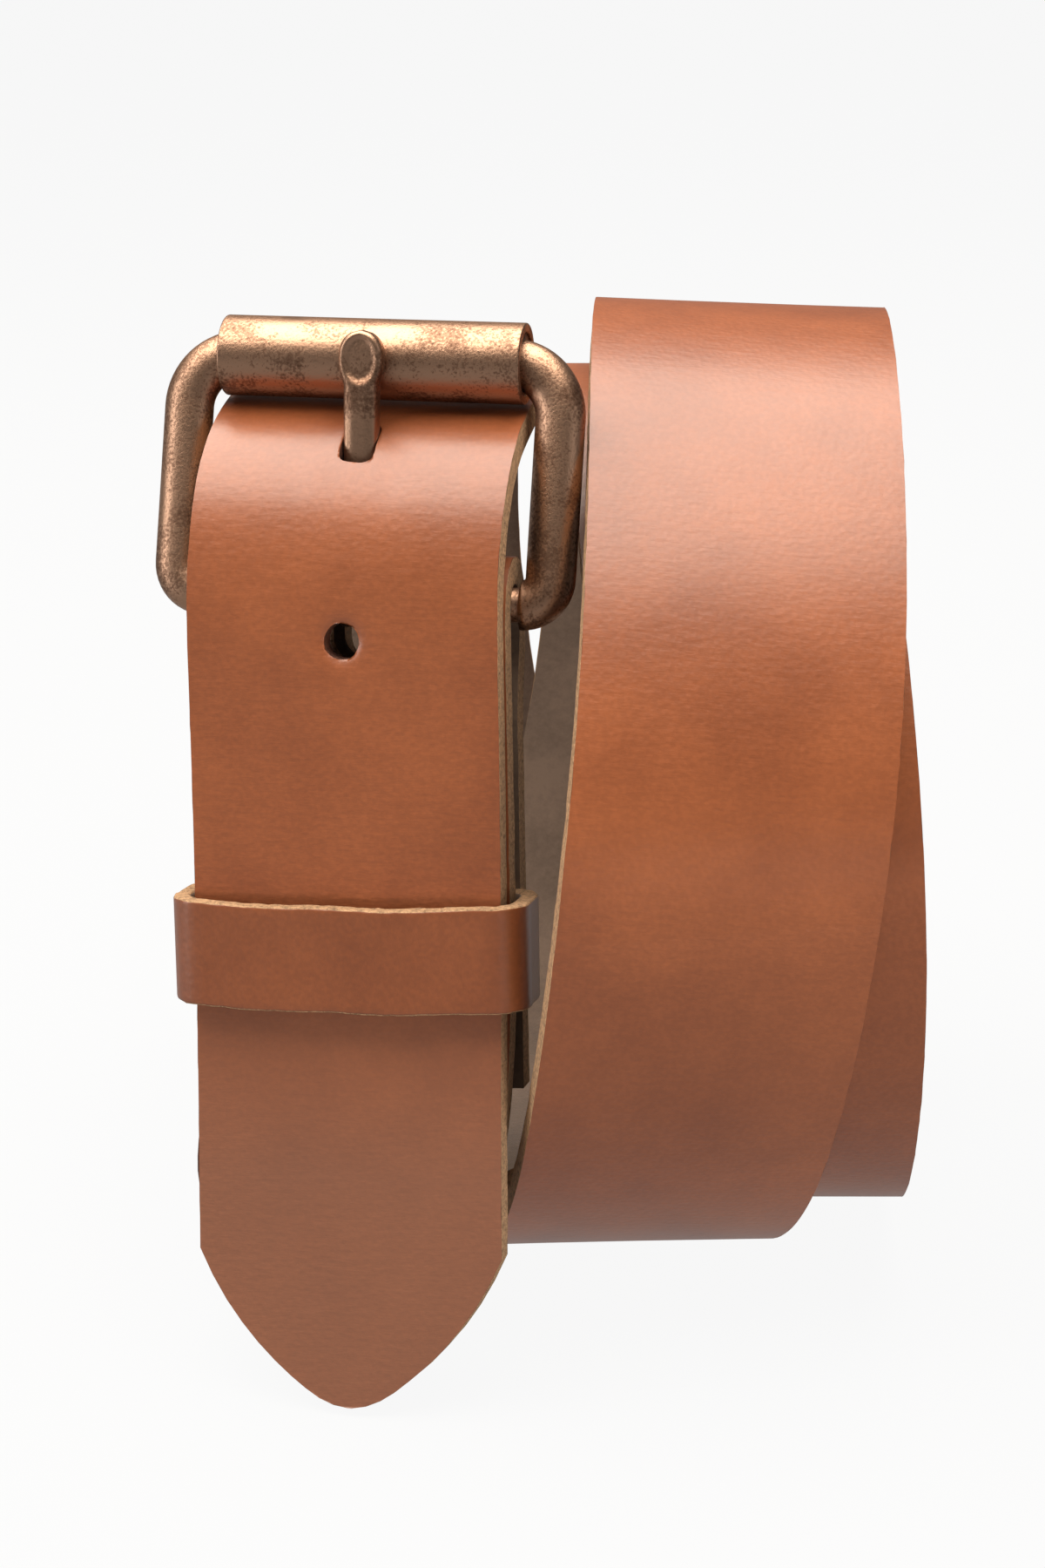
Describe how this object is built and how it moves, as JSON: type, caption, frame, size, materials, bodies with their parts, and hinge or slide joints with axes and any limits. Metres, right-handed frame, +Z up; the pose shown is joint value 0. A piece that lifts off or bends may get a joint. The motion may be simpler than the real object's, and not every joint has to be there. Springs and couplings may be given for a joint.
{
  "type": "leather belt",
  "caption": "Casual leather belt, buckled and rolled into a coil on edge, with a roller buckle, swinging prong, sliding keeper and a pointed tip with punched holes.",
  "frame": {"origin": "middle of the coiled belt's box, on the plane that its edge stands on", "axes": "+X across the strap to the right of the buckle's wearer side, -Y the front with the buckle, +Z up"},
  "size_m": [0.1053, 0.1309, 0.1343],
  "materials": {
    "strap_leather": "waxed full grain, raw cut edges",
    "keeper_leather": "waxed full grain, raw cut edges",
    "buckle_metal": "antique copper plating, worn at the edges",
    "rivet_metal": "antique copper plating",
    "staple_wire": "drawn wire"
  },
  "bodies": {
    "strap": {"strap_tip_end": "strap_leather", "strap_turn_1": "strap_leather", "strap_turn_2": "strap_leather", "strap_turn_3": "strap_leather", "strap_fold_end": "strap_leather", "rivet_post_1": "rivet_metal", "rivet_post_2": "rivet_metal", "rivet_post_3": "rivet_metal", "rivet_post_4": "rivet_metal", "rivet_cap_1": "rivet_metal", "rivet_cap_2": "rivet_metal", "rivet_cap_3": "rivet_metal", "rivet_cap_4": "rivet_metal"},
    "frame": {"buckle_frame": "buckle_metal"},
    "roller": {"roller": "buckle_metal"},
    "prong": {"prong": "buckle_metal"},
    "keeper": {"keeper": "keeper_leather", "keeper_staple": "staple_wire"}
  },
  "joints": [
    {"name": "frame_swing", "type": "hinge", "parent": "strap", "child": "frame", "pos_m": [-0.0257, -0.0336, 0.10015], "axis": [0.9778, -0.2094, 0.0067], "range_deg": [0, 1.5]},
    {"name": "roller_spin", "type": "hinge", "parent": "frame", "child": "roller", "pos_m": [-0.02383, -0.02395, 0.12902], "axis": [0.9778, -0.2094, 0.0067], "continuous": true},
    {"name": "prong_lift", "type": "hinge", "parent": "frame", "child": "prong", "pos_m": [-0.0257, -0.0336, 0.10015], "axis": [0.9778, -0.2094, 0.0067], "range_deg": [0, 1.5]},
    {"name": "keeper_slide", "type": "slide", "parent": "strap", "child": "keeper", "axis": [-0.0171, 0.16, 0.987], "range_m": [-0.003, 0.003]}
  ]
}
